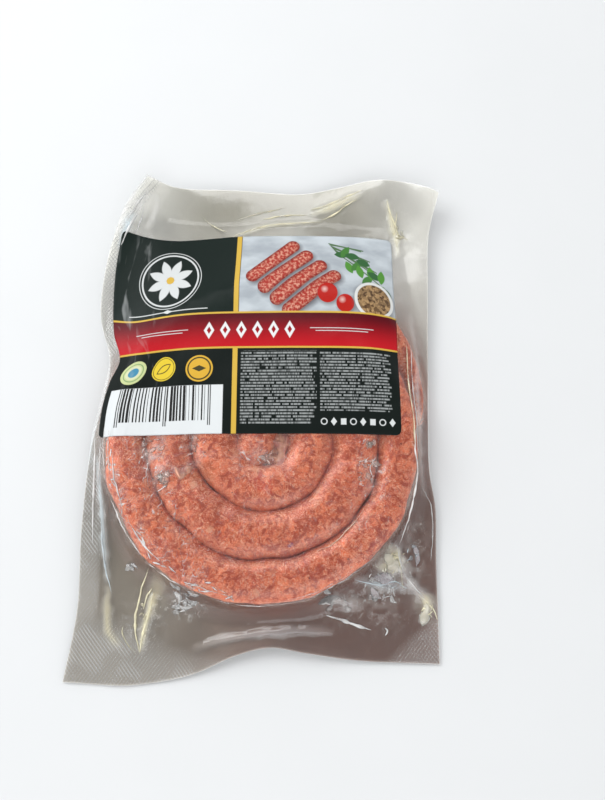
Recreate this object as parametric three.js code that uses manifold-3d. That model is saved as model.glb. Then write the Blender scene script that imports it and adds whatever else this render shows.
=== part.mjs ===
// A flat vacuum pouch of clear film, drawn tight over a string of two raw sausage links that is wound into
// a flat coil, with a printed label stuck across the upper half of the front film.
// Millimetres, +Z up: the back film lies on the table, and +Y runs up the label.
// The sealed pouch and what it holds are one solid, and the label is the other.
import * as THREE from "three";
import { mergeVertices } from "three/addons/utils/BufferGeometryUtils.js";
import Module from "manifold-3d";

// Driving dimensions. Until the last step the origin is the middle of the coil, on the table.
const PITCH = 24; // the sausage's width, and the way from one turn of the coil to the next
const SAUSAGE_HEIGHT = 22;
const START_ANGLE = THREE.MathUtils.degToRad(-77.4); // where the spiral would reach its middle
const INNER_TURN = 0.12; // turns from that middle to each end of the string, and to the twist between links
const TWIST_TURN = 2.232;
const OUTER_TURN = 3.765;
const TIP_BEND = 13; // the innermost half turn keeps this bend radius, round a middle of its own
const TIP_MIDDLE = new THREE.Vector2(4.9, 1.1);
const TIP_JOIN = [0.5, 0.9]; // turns over which the bend goes over into the spiral
const TAPER_TURN = 3.6; // from here on the outer end narrows and lies against the turn inside it
const TAPER_PAST_TIP = 0.01; // turns past the outer tip where the narrowing would reach nothing
const TIP_WIDTH = 0.1; // the outer tip's width, as a share of the full width
const ROUND_END = 12; // length of the inner end's rounding
const TIP_END = 6; // of the narrow outer end's
const TWIST_END = 9; // and of an end that tapers into the twist
const TWIST_OVERLAP = 0.006; // turns by which the two tapered ends run into each other
const BASE_FLATTENING = 1.2; // the sausage's lower half is stretched by this, and cut flat by the table

const FRONT_VALLEY = 15.6; // the front and the back film between two turns
const BACK_VALLEY = 2.5;
const SKIRT = 15; // how far outside the coil the front film comes down to the flange
const LABEL_SKIRT = 40; // and how far where the label bridges it
const BACK_RISE = 12; // how far outside the coil the back film comes up to the flange
const FLANGE_HEIGHT = 4.5; // the flat welded films round the coil
const FLANGE_THICKNESS = 0.8;
const EDGE_REACH = 0.2; // share of the pouch's width or length that follows the wave of an edge
const EDGE_STEEPNESS = 1.5; // the power by which that wave dies away inwards

// The four edges of the pouch: across, along, and the height of the wave there.
const LEFT_EDGE = [
  [-107, -122.5, 1], [-101, -87, 4], [-100.5, -45, 7], [-97.5, -5, 9], [-92, 22, 11],
  [-88.8, 43, 13], [-92.5, 68, 16], [-89.5, 103, 18], [-82, 127, 21], [-70, 145, 25],
];
const RIGHT_EDGE = [
  [86, -114, 1], [86, -62, 2.5], [86.3, -35, 4], [83.5, -14, 5], [84.5, 25, 5],
  [86.5, 85, 6], [88, 120, 8], [93.5, 143, 15],
];
const BOTTOM_EDGE = [
  [-107, -122.5, 1], [-72, -124, 1], [-41, -118.5, 2.5], [-18, -108.5, 7], [-1, -104.5, 9],
  [17, -107.5, 7], [44, -111.8, 3], [86, -114, 1],
];
const TOP_EDGE = [
  [-70, 145, 25], [-58, 144.5, 12], [-20, 146, 7], [14, 145, 5.5], [34, 147.5, 8],
  [59, 151.5, 12], [78, 150, 11], [93.5, 143, 15],
];

const LABEL = { right: 66.5, bottom: 2.5, top: 115.5, thickness: 0.35 };
// The label's left edge from the bottom up, drawn in where the side margin of the film is pinched.
const LABEL_LEFT_EDGE = [[-87.5, 2.5], [-87, 22], [-83.5, 44], [-87, 66], [-87.5, 90], [-84.5, 115.5]];
const LABEL_CLEAR = 0.4; // the label's underside over the film's crests
const LABEL_FALL = [-4, 40]; // distances from the coil's edge over which the label comes down
const LABEL_FADE = 16; // how far beyond the label's edges the film still bridges like it

const POUCH_GRID = [36, 50];
const LABEL_GRID = [22, 18];
const SAUSAGE_SIDES = 12;
const COIL_SAMPLES = 400;
const STEP_LENGTH = 8.5; // along the sausage
const END_STEPS = 3;
const SHARED_CORNER = 1e-3; // corners of a bare capsule that lie this close are one
const SLIVER = 0.1; // shorter edges than this are merged after a join

const { lerp, smoothstep } = THREE.MathUtils;

// The sausage's width as a share of its full width: one, but for the outer end.
function fullness(turn) {
  const left = 1 - smoothstep(turn, TAPER_TURN, OUTER_TURN + TAPER_PAST_TIP);
  return Math.sqrt(Math.max(left, TIP_WIDTH ** 2));
}

// The middle line of the coil between two numbers of turns.
class CoilPath extends THREE.Curve {
  constructor(from, to) {
    super();
    this.from = from;
    this.to = to;
  }

  turnAt(share) {
    return lerp(this.from, this.to, this.getUtoTmapping(share));
  }

  getPoint(share, target = new THREE.Vector3()) {
    const turn = lerp(this.from, this.to, share);
    const angle = START_ANGLE - 2 * Math.PI * turn;
    const inward = (1 - fullness(turn)) * (PITCH / 2);
    const radius = Math.max(PITCH * turn - inward, TIP_BEND);
    const aside = 1 - smoothstep(turn, ...TIP_JOIN);
    return target.set(
      TIP_MIDDLE.x * aside + radius * Math.cos(angle),
      TIP_MIDDLE.y * aside + radius * Math.sin(angle),
      0,
    );
  }
}

const coil = new CoilPath(INNER_TURN, OUTER_TURN);
const coilLine = coil.getSpacedPoints(COIL_SAMPLES).map((point, i) => {
  const halfWidth = (fullness(coil.turnAt(i / COIL_SAMPLES)) * PITCH) / 2;
  return { point, halfWidth };
});

// How far a point of the table lies outside the coil, and below zero inside it.
function outsideCoil(x, y) {
  const gaps = coilLine.map(({ point, halfWidth }) => Math.hypot(point.x - x, point.y - y) - halfWidth);
  return Math.min(...gaps);
}

const edge = (points) => new THREE.CatmullRomCurve3(points.map((p) => new THREE.Vector3(...p)));
const leftEdge = edge(LEFT_EDGE);
const rightEdge = edge(RIGHT_EDGE);
const bottomEdge = edge(BOTTOM_EDGE);
const topEdge = edge(TOP_EDGE);

// A patch between the four edges: each edge's share is one on that edge and nothing on the edge across.
function patch(u, v, shareOf) {
  const left = leftEdge.getPointAt(v);
  const right = rightEdge.getPointAt(v);
  const bottom = bottomEdge.getPointAt(u);
  const top = topEdge.getPointAt(u);
  const corners = [leftEdge.getPoint(0), rightEdge.getPoint(0), leftEdge.getPoint(1), rightEdge.getPoint(1)];
  const [l, r, b, t] = [shareOf(u), shareOf(1 - u), shareOf(v), shareOf(1 - v)];
  return new THREE.Vector3()
    .addScaledVector(left, l)
    .addScaledVector(right, r)
    .addScaledVector(bottom, b)
    .addScaledVector(top, t)
    .addScaledVector(corners[0], -l * b)
    .addScaledVector(corners[1], -r * b)
    .addScaledVector(corners[2], -l * t)
    .addScaledVector(corners[3], -r * t);
}

// The flange's place and height: flat at FLANGE_HEIGHT, and waved near the edges.
function flangeAt(u, v) {
  const place = patch(u, v, (s) => 1 - s);
  const near = (s) => (1 - smoothstep(s, 0, EDGE_REACH)) ** EDGE_STEEPNESS;
  const wave = patch(u, v, near).z;
  const calm = (1 - near(u)) * (1 - near(1 - u)) * (1 - near(v)) * (1 - near(1 - v));
  place.z = wave + FLANGE_HEIGHT * calm;
  return place;
}

// The closed box geometry with shared corners, each vertex then moved by a function of its place.
function shapedBox([across, along], move) {
  const box = new THREE.BoxGeometry(1, 1, 1, across, along, 1);
  box.deleteAttribute("normal");
  box.deleteAttribute("uv");
  const shaped = mergeVertices(box);
  const place = shaped.getAttribute("position");
  for (let i = 0; i < place.count; i++) {
    const moved = move(place.getX(i) + 0.5, place.getY(i) + 0.5, place.getZ(i) > 0);
    place.setXYZ(i, moved.x, moved.y, moved.z);
  }
  return shaped;
}

// One where the label lies, and nothing farther than LABEL_FADE beyond its edges.
function underLabel(x, y) {
  const beside = Math.max(LABEL_LEFT_EDGE[0][0] - x, x - LABEL.right);
  const above = Math.max(LABEL.bottom - y, y - LABEL.top);
  return 1 - smoothstep(Math.max(beside, above), 0, LABEL_FADE);
}

// Front and back film as one closed skin, with the coil's hollow between them filled.
function filmGeometry() {
  return shapedBox(POUCH_GRID, (u, v, front) => {
    const point = flangeAt(u, v);
    const outside = outsideCoil(point.x, point.y);
    if (front) {
      const skirt = lerp(SKIRT, LABEL_SKIRT, underLabel(point.x, point.y));
      point.z = lerp(FRONT_VALLEY, point.z, smoothstep(outside, 0, skirt));
    } else {
      point.z = lerp(BACK_VALLEY, point.z - FLANGE_THICKNESS, smoothstep(outside, 0, BACK_RISE));
    }
    return point;
  });
}

// One link: a capsule bent along the coil's line. Its two ends have lengths of their own.
// The bare capsule's straight part runs from -0.5 to 0.5, and each of its ends is 1 long.
function linkGeometry(from, to, startEnd, finishEnd) {
  const path = new CoilPath(from, to);
  const length = path.getLength();
  const capsule = new THREE.CapsuleGeometry(1, 1, END_STEPS, SAUSAGE_SIDES, Math.round(length / STEP_LENGTH));
  capsule.deleteAttribute("normal");
  capsule.deleteAttribute("uv");
  const link = mergeVertices(capsule, SHARED_CORNER);
  const place = link.getAttribute("position");
  for (let i = 0; i < place.count; i++) {
    const height = place.getY(i);
    let along = lerp(startEnd, length - finishEnd, height + 0.5);
    if (height < -0.5) along = startEnd * (height + 1.5);
    if (height > 0.5) along = length - finishEnd * (1.5 - height);
    const share = THREE.MathUtils.clamp(along / length, 0, 1);
    const middle = path.getPointAt(share);
    const tangent = path.getTangentAt(share);
    const full = fullness(path.turnAt(share));
    const side = (place.getX(i) * full * PITCH) / 2;
    const halfHeight = (full * SAUSAGE_HEIGHT) / 2;
    const up = place.getZ(i);
    const rise = up > 0 ? up : Math.max(up * BASE_FLATTENING, -1);
    place.setXYZ(i, middle.x + tangent.y * side, middle.y - tangent.x * side, halfHeight * (1 + rise));
  }
  return link;
}

// The label's sheet: flat over the coil, down to the flange above it and beside it, and clear of the film.
function labelGeometry(film) {
  const ray = new THREE.Raycaster();
  const down = new THREE.Vector3(0, 0, -1);
  const filmHeight = (x, y) => {
    ray.set(new THREE.Vector3(x, y, 2 * SAUSAGE_HEIGHT), down);
    const hits = ray.intersectObject(film);
    return hits.length ? hits[0].point.z : 0;
  };
  const leftSide = edge(LABEL_LEFT_EDGE.map(([x, y]) => [x, y, 0]));
  const cellWidth = (LABEL.right - LABEL_LEFT_EDGE[0][0]) / LABEL_GRID[0];
  const cellLength = (LABEL.top - LABEL.bottom) / LABEL_GRID[1];
  const around = [-1, -0.5, 0, 0.5, 1];
  return shapedBox(LABEL_GRID, (u, v, front) => {
    const x = lerp(leftSide.getPointAt(v).x, LABEL.right, u);
    const y = lerp(LABEL.bottom, LABEL.top, v);
    const heights = around.flatMap((i) =>
      around.map((j) => filmHeight(x + i * cellWidth, y + j * cellLength)),
    );
    const fall = smoothstep(outsideCoil(x, y), ...LABEL_FALL);
    const drape = lerp(SAUSAGE_HEIGHT, filmHeight(x, y), fall);
    const z = Math.max(drape, ...heights) + LABEL_CLEAR;
    return new THREE.Vector3(x, y, z + (front ? LABEL.thickness : 0));
  });
}

const wasm = await Module();
wasm.setup();

// The triangles of a geometry, without those that merging its vertices has made into a line.
function wholeTriangles(geometry) {
  const kept = [];
  const index = geometry.index.array;
  for (let i = 0; i < index.length; i += 3) {
    const [a, b, c] = index.slice(i, i + 3);
    if (a !== b && b !== c && c !== a) kept.push(a, b, c);
  }
  return new Uint32Array(kept);
}

function solidOf(geometry) {
  const vertProperties = geometry.getAttribute("position").array;
  const triVerts = wholeTriangles(geometry);
  return new wasm.Manifold(new wasm.Mesh({ numProp: 3, vertProperties, triVerts }));
}

// A solid as a geometry, with the slivers that a join leaves merged away.
function geometryOf(solid) {
  const mesh = solid.getMesh();
  const joined = new THREE.BufferGeometry()
    .setAttribute("position", new THREE.BufferAttribute(mesh.vertProperties, 3))
    .setIndex(new THREE.BufferAttribute(mesh.triVerts, 1));
  const merged = mergeVertices(joined, SLIVER);
  return merged.setIndex(new THREE.BufferAttribute(wholeTriangles(merged), 1));
}

const innerLink = linkGeometry(INNER_TURN, TWIST_TURN + TWIST_OVERLAP, ROUND_END, TWIST_END);
const outerLink = linkGeometry(TWIST_TURN - TWIST_OVERLAP, OUTER_TURN, TWIST_END, TIP_END);
const packed = solidOf(filmGeometry()).add(solidOf(innerLink)).add(solidOf(outerLink));

const pouchMaterial = new THREE.MeshStandardMaterial({ color: 0xc08a78, roughness: 0.2, metalness: 0 });
const pouch = new THREE.Mesh(geometryOf(packed), pouchMaterial);
pouch.name = "pouch";

const labelMaterial = new THREE.MeshStandardMaterial({ color: 0x202826, roughness: 0.35, metalness: 0 });
const label = new THREE.Mesh(labelGeometry(pouch), labelMaterial);
label.name = "label";

// The origin is under the middle of the pouch, on the table.
const pack = new THREE.Group();
pack.add(pouch, label);
const bounds = new THREE.Box3().setFromObject(pack);
const middle = bounds.getCenter(new THREE.Vector3());
pack.position.set(-middle.x, -middle.y, -bounds.min.z);

export default pack;
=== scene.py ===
"""A clear vacuum pouch drawn tight over a coil of raw sausage, with a printed label over its upper half.

Lengths are in millimetres in the formulas, and in metres in the finished meshes.
"""

import math

import bpy
import numpy as np
from mathutils.bvhtree import BVHTree
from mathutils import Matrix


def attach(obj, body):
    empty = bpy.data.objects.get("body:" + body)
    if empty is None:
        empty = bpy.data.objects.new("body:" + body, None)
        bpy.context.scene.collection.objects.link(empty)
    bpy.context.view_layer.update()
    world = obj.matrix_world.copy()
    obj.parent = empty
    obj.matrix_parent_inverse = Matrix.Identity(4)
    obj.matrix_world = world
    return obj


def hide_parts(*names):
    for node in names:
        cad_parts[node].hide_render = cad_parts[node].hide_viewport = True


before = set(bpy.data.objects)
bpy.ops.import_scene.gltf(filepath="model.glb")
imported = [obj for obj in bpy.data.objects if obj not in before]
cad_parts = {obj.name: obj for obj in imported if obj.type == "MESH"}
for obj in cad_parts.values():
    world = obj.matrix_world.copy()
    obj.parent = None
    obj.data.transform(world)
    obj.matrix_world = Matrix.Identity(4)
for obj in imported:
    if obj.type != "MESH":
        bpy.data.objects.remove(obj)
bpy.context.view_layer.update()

MM = 0.001
FAR = 1e9

# The sausage: one string of two links, wound into a flat coil that grows clockwise from its middle.
COIL_MIDDLE = (6.75, -13.71)
PITCH = 24.0
SAUSAGE_HEIGHT = 21.6
START_ANGLE = math.radians(-77.4)
INNER_TURN = 0.12
TWIST_TURN = 2.232
OUTER_TURN = 3.765
TAPER_TURN = 3.6
TIP_BEND = 13.0
TIP_MIDDLE = (4.9, 1.1)
TIP_JOIN = (0.5, 0.9)
SECTION_SQUARENESS = 2.9
WAVER = 1.3
BASE_FLATTENING = 1.12
# How much narrower the film presses the outermost turn: turn and millimetres.
PRESSED_IN = [
    (2.70, 0.0), (2.78, 2.0), (2.86, 3.0), (2.94, 4.2), (3.05, 2.6), (3.16, 0.4), (3.23, 1.5), (3.30, 3.4),
]

# The pouch: its four edges as points across, along and up, from the middle of the coil.
LEFT_EDGE = [
    (-107, -122.5, 1), (-101, -87, 4), (-100.5, -45, 7), (-97.5, -5, 9), (-92, 22, 11),
    (-88.8, 43, 13), (-94.5, 68, 16), (-92, 100, 18), (-83.5, 128, 21), (-71, 147.5, 25),
]
RIGHT_EDGE = [
    (86, -114, 1), (86, -62, 2.5), (86.3, -35, 4), (83.5, -14, 5), (84.5, 25, 5),
    (86.5, 85, 6), (88, 120, 8), (93.5, 143, 15),
]
BOTTOM_EDGE = [
    (-107, -122.5, 1), (-72, -124, 1), (-41, -118.5, 2.5), (-18, -108.5, 7), (-1, -104.5, 9),
    (17, -107.5, 7), (44, -111.8, 3), (86, -114, 1),
]
TOP_EDGE = [
    (-71, 147.5, 25), (-58, 147, 12), (-20, 147.5, 7), (14, 146, 5.5), (34, 148, 8),
    (59, 151.5, 12), (78, 150, 11), (93.5, 143, 15),
]
POUCH_WIDTH, POUCH_LENGTH = 190.0, 260.0
FLANGE_HEIGHT = 4.3
FILM_GAP = 0.25
EDGE_REACH = 0.2

# The label, from the middle of the coil. Its upper edge stays below LABEL_TOP.
LABEL_RIGHT, LABEL_BOTTOM, LABEL_TOP = 66.5, 2.5, 119.0
LABEL_LEFT_EDGE = [(-92, 2.5), (-90.5, 18), (-87, 31), (-82, 42), (-86.5, 58), (-87.5, 90), (-84.5, 116.5)]
LABEL_SIZE = (155.0, 113.0)
LABEL_CORNER = 3.0
LABEL_THICKNESS = 0.2

# Folds of the front film, from the middle of the pouch. Each has points, half its width, its height,
# how milky it is, which is a painted highlight, and the tint of that painted highlight.
# Tints of the painted highlights on the film's folds and crumples.
WHITE, YELLOW, BLUE, PINK = (0.86, 0.86, 0.85), (0.90, 0.84, 0.58), (0.74, 0.86, 0.92), (0.92, 0.72, 0.64)
SOFT_FOLDS = [
    ([(-86.5, -21), (-84.5, -34), (-83, -50), (-81.5, -67.5), (-78.5, -87.5)], 1.5, 1.6, 0.45, BLUE),
    ([(-78.5, -87.5), (-77.5, -110.5), (-75.5, -114.5), (-71.5, -118.5)], 2.0, 1.2, 0.28, YELLOW),
    ([(-54.5, -91.5), (-58, -106), (-61, -122)], 1.8, 1.2, 0.42, YELLOW),
    ([(-52, -80), (-53, -92), (-55.5, -104)], 4.0, 0.8, 0.16, YELLOW),
    ([(-34.5, -119.5), (-22, -115.5), (-4.5, -112), (16, -110), (39, -111)], 2.2, 1.3, 0.14, BLUE),
    ([(71, -66.5), (75.5, -83), (86, -95.5), (90.5, -104)], 2.6, 1.6, 0.26, WHITE),
    ([(73, -70), (66.5, -76.5), (64, -82)], 4.5, 1.2, 0.34, YELLOW),
    ([(48.5, -84.5), (63, -88), (76.5, -90.5)], 2.0, 1.0, 0.22, BLUE),
    ([(36.5, -94), (45, -97), (53, -96)], 2.6, 0.8, 0.17, WHITE),
    ([(86.5, -92), (86, -100), (84, -107)], 3.6, 0.8, 0.30, YELLOW),
    ([(82.5, 60), (84.5, 30), (84, 0), (84.5, -30), (88, -44)], 1.8, 1.0, 0.26, WHITE),
    ([(70.5, 126.5), (74, 112), (76, 104), (76.5, 92)], 2.2, 1.4, 0.40, YELLOW),
    ([(-24.5, 101.5), (-11.5, 107.5), (3.5, 112.5), (33.5, 115)], 1.6, 0.9, 0.20, YELLOW),
    ([(26.5, 119), (38, 122.5), (56.5, 130)], 2.4, 1.0, 0.34, YELLOW),
    ([(-73, 110), (-68, 120), (-63.5, 128)], 2.0, 1.2, 0.25, WHITE),
    ([(-81, 98), (-78, 110), (-73, 122), (-70, 134)], 2.8, 1.2, 0.42, WHITE),
    ([(-66, 106), (-62, 117), (-60.5, 128)], 1.5, 0.8, 0.26, WHITE),
    ([(-79.5, 92), (-76.5, 103), (-71.5, 114)], 1.6, 1.2, 0.35, BLUE),
    ([(-90, 60), (-92, 30), (-91, 0), (-90, -30)], 2.0, 1.0, 0.12, BLUE),
]
SHARP_FOLDS = [
    ([(-87.5, -8.5), (-88, -29), (-88, -50), (-87.5, -67.5)], 0.55, 0.7, 0.75, WHITE),
    ([(-84, -13), (-84.5, -29), (-85, -44.5)], 0.4, 0.5, 0.55, WHITE),
    ([(-83.5, -55), (-82, -68), (-79.5, -82), (-76.5, -92)], 0.5, 0.7, 0.75, BLUE),
    ([(-70.5, -108.5), (-70.5, -111.5), (-67.5, -117.5), (-63.5, -122)], 0.35, 0.5, 0.6, YELLOW),
    ([(-56, -78.5), (-60.5, -87.5), (-62.5, -96.5), (-64, -105.5), (-63.5, -113), (-61, -122)],
     0.55, 0.7, 0.7, YELLOW),
    ([(-55.5, -89.5), (-58.5, -94.5), (-60, -100.5)], 0.5, 0.6, 0.7, YELLOW),
    ([(-54.5, -91.5), (-56, -99.5), (-58, -106), (-60, -113.5), (-61, -122)], 0.6, 0.7, 0.8, YELLOW),
    ([(-44, -91), (-41, -94), (-41.5, -98)], 1.5, 0.9, 0.35, WHITE),
    ([(-36, -90), (-33, -92), (-29.5, -92)], 1.3, 0.9, 0.45, WHITE),
    ([(-42, -97.5), (-39, -99.5), (-35, -98.5)], 1.2, 0.7, 0.3, WHITE),
    ([(71, -66.5), (73, -75.5), (75.5, -83), (81, -90), (86, -95.5)], 0.45, 0.7, 0.6, WHITE),
    ([(71, -69.5), (73.5, -80.5), (74.5, -90.5)], 0.35, 0.5, 0.5, YELLOW),
    ([(48.5, -84.5), (53.5, -86.5), (63, -88), (71, -86.5), (76.5, -90.5)], 0.35, 0.5, 0.5, BLUE),
    ([(64.5, -72), (68.5, -76.5), (72, -82)], 3.4, 0.5, 0.42, (0.78, 0.74, 0.62)),
    ([(59, -84), (65, -85), (70, -88)], 2.6, 0.5, 0.28, (0.72, 0.68, 0.72)),
    ([(58, -89), (60, -93), (63.5, -95)], 2.0, 0.5, 0.34, (0.76, 0.72, 0.74)),
    ([(30, -97), (38, -95), (46, -98)], 2.4, 0.4, 0.2, (0.66, 0.62, 0.60)),
    ([(86.5, -97), (86, -103), (84, -109)], 2.6, 0.5, 0.45, (0.80, 0.77, 0.64)),
    ([(81, -68), (83, -74), (82, -79)], 1.6, 0.5, 0.3, (0.76, 0.72, 0.76)),
    ([(89.5, -99), (91, -102.5), (92, -106)], 0.4, 0.6, 0.9, YELLOW),
    ([(34, -103), (41, -105), (49, -108), (58, -110.5)], 0.9, 0.8, 0.62, WHITE),
    ([(64.5, -109.5), (66, -111), (64.5, -113.5)], 0.4, 0.6, 0.9, WHITE),
    ([(81, -8), (80.5, -20.5), (82, -29), (81.5, -36.5), (79.5, -46), (76.5, -57), (72.5, -68)],
     0.6, 0.9, 0.95, WHITE),
    ([(86, -38), (88.5, -43), (90.5, -47), (91, -65), (89.5, -76.5)], 0.35, 0.5, 0.45, WHITE),
    ([(78.5, 39.5), (79, 19), (80, -3), (80.5, -21)], 0.45, 0.8, 0.7, YELLOW),
    ([(81, 39.5), (81.5, 19), (82, -3), (82, -21)], 0.35, 0.6, 0.6, WHITE),
    ([(-36.5, 118), (-29.5, 112), (-20, 107)], 0.35, 0.4, 0.45, YELLOW),
    ([(-16.5, 116), (-1, 120.5), (12, 124)], 0.4, 0.5, 0.5, YELLOW),
    ([(-1, 116.5), (12, 119), (25.5, 119)], 0.45, 0.5, 0.7, YELLOW),
    ([(26.5, 122), (38, 124.5), (47, 128), (56.5, 132)], 0.5, 0.6, 0.7, YELLOW),
    ([(33.5, 115.5), (42.5, 119.5), (46.5, 123), (54, 126.5)], 0.5, 0.6, 0.75, YELLOW),
    ([(-24.5, 101.5), (-11.5, 107.5), (3.5, 112.5), (21, 114), (33.5, 114.5)], 0.4, 0.5, 0.6, YELLOW),
    ([(70.5, 126.5), (73, 117.5), (75.5, 111), (74.5, 104.5)], 0.5, 0.7, 0.7, YELLOW),
    ([(77, 120), (76, 113), (77.5, 106.5), (83.5, 103)], 0.4, 0.5, 0.6, YELLOW),
    ([(-75.5, 108), (-70.5, 118), (-65, 126.5)], 0.4, 0.6, 0.6, WHITE),
    ([(-79, 93), (-74, 106), (-69.5, 115.5)], 0.5, 0.7, 0.75, WHITE),
    ([(-71.5, 102), (-69, 109.5), (-67, 119.5)], 0.4, 0.6, 0.5, WHITE),
    ([(-52, -41), (-46.5, -37.5)], 0.55, 0.8, 0.85, WHITE),
    ([(55, -47), (50, -54), (44, -60.5), (37, -67), (28.5, -70.5)], 0.25, 0.5, 0.45, (0.90, 0.74, 0.58)),
    ([(60, -23), (57, -29), (58.5, -35)], 0.3, 0.5, 0.5, WHITE),
]

# Where the front film is finely crinkled: across, along, reach, strength, and milkiness, which is a painted
# sheen.
CRINKLED = [
    (-38, -94, 9, 1.0, 0.10), (62, -90, 14, 0.8, 0.10), (72, -77, 10, 0.9, 0.16), (-60, -108, 10, 0.5, 0.08),
    (-56, -15, 6, 1.0, 0.30), (-53, -26, 6, 1.0, 0.24), (-49, -36, 6, 0.7, 0.10), (-34, -14, 5, 0.8, 0.20),
    (-31.5, -22, 5, 0.7, 0.14), (57.5, -14, 5, 0.9, 0.08), (57, -27, 6, 1.0, 0.10), (57, -37, 6, 0.9, 0.08),
    (52, -52, 7, 0.6, 0.06), (-69, -50, 7, 0.9, 0.12), (-73, -34, 6, 0.8, 0.12), (-62, -62, 7, 0.8, 0.08),
    (-50, -73, 7, 0.7, 0.08), (-32, -82, 7, 0.7, 0.06), (6, -25, 6, 0.7, 0.08), (-4, -21, 6, 0.7, 0.12),
    (88, -100, 6, 0.6, 0.10), (78, 108, 10, 0.5, 0.04), (32, 120, 14, 0.35, 0.02), (-75, 110, 8, 0.5, 0.05),
    (82, -60, 8, 0.5, 0.06), (-84, -30, 8, 0.4, 0.04), (80, -75, 7, 0.5, 0.08), (40, -96, 9, 0.4, 0.06),
]

# Crumpled places of the front film: across, along, reach, how many facets, and the tint of their painted
# highlights.
CRUMPLES = [
    (-38, -93, 8, 16, WHITE), (-40, -98, 5, 5, WHITE), (63, -90, 9, 14, WHITE), (72, -76, 7, 10, YELLOW),
    (-59, -104, 8, 8, YELLOW), (-67, -79, 3, 4, WHITE), (-55, -18, 6, 10, PINK), (-50, -35, 5, 9, PINK),
    (57, -30, 7, 14, PINK), (57, -16, 4, 6, PINK), (87, -101, 5, 6, YELLOW), (40, -96, 7, 5, WHITE),
    (-33, -16, 4, 4, PINK), (1, -21, 7, 7, PINK), (82, -72, 6, 6, BLUE), (78, 106, 7, 5, YELLOW),
]

# The camera, by the photograph's viewing angle.
CAMERA_PLACE = (22.23, -55.2, 339.0)
CAMERA_TILT = math.radians(11)
CAMERA_LENS = 27.9


# Helpers for shapes
def ease(x, low, high):
    t = np.clip((x - low) / (high - low), 0, 1)
    return t * t * (3 - 2 * t)


def mix(a, b, share):
    return a + (b - a) * share


class Grain:
    """Smooth random heights from -1 to 1, the same on each run."""

    CELLS = 32

    def __init__(self, seed):
        self.table = np.random.RandomState(seed).uniform(-1, 1, (self.CELLS,) * 3)

    def __call__(self, points, size):
        p = np.asarray(points, float) / size
        base = np.floor(p).astype(int)
        t = p - base
        t = t * t * (3 - 2 * t)
        total = 0.0
        for corner in np.ndindex(2, 2, 2):
            cell = (base + corner) % self.CELLS
            weight = np.prod(np.where(corner, t, 1 - t), axis=-1)
            total = total + weight * self.table[cell[..., 0], cell[..., 1], cell[..., 2]]
        return total


grain = Grain(5)


def flat_points(x, y, layer=0.0):
    return np.stack([x, y, np.full_like(x, layer)], axis=-1)


def smooth_line(points, samples=400):
    """A smooth curve through points, as a function of the share of its length."""
    p = np.array(points, float)
    knots = np.concatenate([[0], np.cumsum(np.sqrt(np.linalg.norm(np.diff(p, axis=0), axis=1)))])
    slopes = np.gradient(p, knots, axis=0)
    t = np.linspace(0, knots[-1], samples)
    i = np.clip(np.searchsorted(knots, t, side="right") - 1, 0, len(knots) - 2)
    step = (knots[i + 1] - knots[i])[:, None]
    s = ((t - knots[i]) / step[:, 0])[:, None]
    curve = (
        (2 * s**3 - 3 * s**2 + 1) * p[i]
        + (s**3 - 2 * s**2 + s) * step * slopes[i]
        + (3 * s**2 - 2 * s**3) * p[i + 1]
        + (s**3 - s**2) * step * slopes[i + 1]
    )
    length = np.concatenate([[0], np.cumsum(np.linalg.norm(np.diff(curve, axis=0), axis=1))])
    share = length / length[-1]

    def at(u):
        return np.stack([np.interp(u, share, curve[:, k]) for k in range(p.shape[1])], axis=-1)

    return at


# The coil's middle line
def fullness(turn):
    """The sausage's width as a share of its full width: one, but for the outer end."""
    return np.sqrt(np.maximum(1 - ease(turn, TAPER_TURN, OUTER_TURN + 0.01), 0.01))


def width_share(turn):
    """The sausage's width as a share of its full width, also where the film presses it in."""
    return fullness(turn) * (1 - np.interp(turn, *zip(*PRESSED_IN)) / PITCH)


def coil_place(turn):
    angle = START_ANGLE - 2 * np.pi * turn
    radius = np.maximum(PITCH * turn - (1 - width_share(turn)) * PITCH / 2, TIP_BEND)
    aside = 1 - ease(turn, *TIP_JOIN)
    x = COIL_MIDDLE[0] + TIP_MIDDLE[0] * aside + radius * np.cos(angle)
    y = COIL_MIDDLE[1] + TIP_MIDDLE[1] * aside + radius * np.sin(angle)
    return np.stack([x, y], axis=-1)


def drifted(x, y, way=1):
    """Places moved a little across the table, so that the coil's turns run unevenly."""
    p = flat_points(x, y, 77.0)
    return x + way * WAVER * grain(p, 11.0), y + way * WAVER * grain(p + 50, 11.0)


coil_turns = np.linspace(INNER_TURN, OUTER_TURN, 1600)
coil_line = coil_place(coil_turns)
coil_length = np.concatenate([[0], np.cumsum(np.linalg.norm(np.diff(coil_line, axis=0), axis=1))])


def outside_coil(x, y):
    """How far a point lies outside the coil, below zero inside it."""
    x, y = drifted(x, y, -1)
    gap = np.full(x.shape, FAR)
    for point, full in zip(coil_line[::4], width_share(coil_turns[::4])):
        away = np.hypot(x - point[0], y - point[1]) - full * PITCH / 2
        gap = np.minimum(gap, away)
    return gap


# The pouch's outline and flange
def placed(points):
    return [(x + COIL_MIDDLE[0], y + COIL_MIDDLE[1], *rest) for x, y, *rest in points]


left_edge, right_edge, bottom_edge, top_edge = (
    smooth_line(placed(e)) for e in (LEFT_EDGE, RIGHT_EDGE, BOTTOM_EDGE, TOP_EDGE)
)


def patch(u, v, share_of):
    """A patch between the four edges. Each edge counts by the share that the distance to it gives."""
    left, right, bottom, top = left_edge(v), right_edge(v), bottom_edge(u), top_edge(u)
    l, r, b, t = (share_of(s)[..., None] for s in (u, 1 - u, v, 1 - v))
    corners = [left_edge(0.0), right_edge(0.0), left_edge(1.0), right_edge(1.0)]
    edges = left * l + right * r + bottom * b + top * t
    return edges - corners[0] * l * b - corners[1] * r * b - corners[2] * l * t - corners[3] * r * t


def near_edge(s):
    return (1 - ease(s, 0, EDGE_REACH)) ** 1.5


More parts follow.
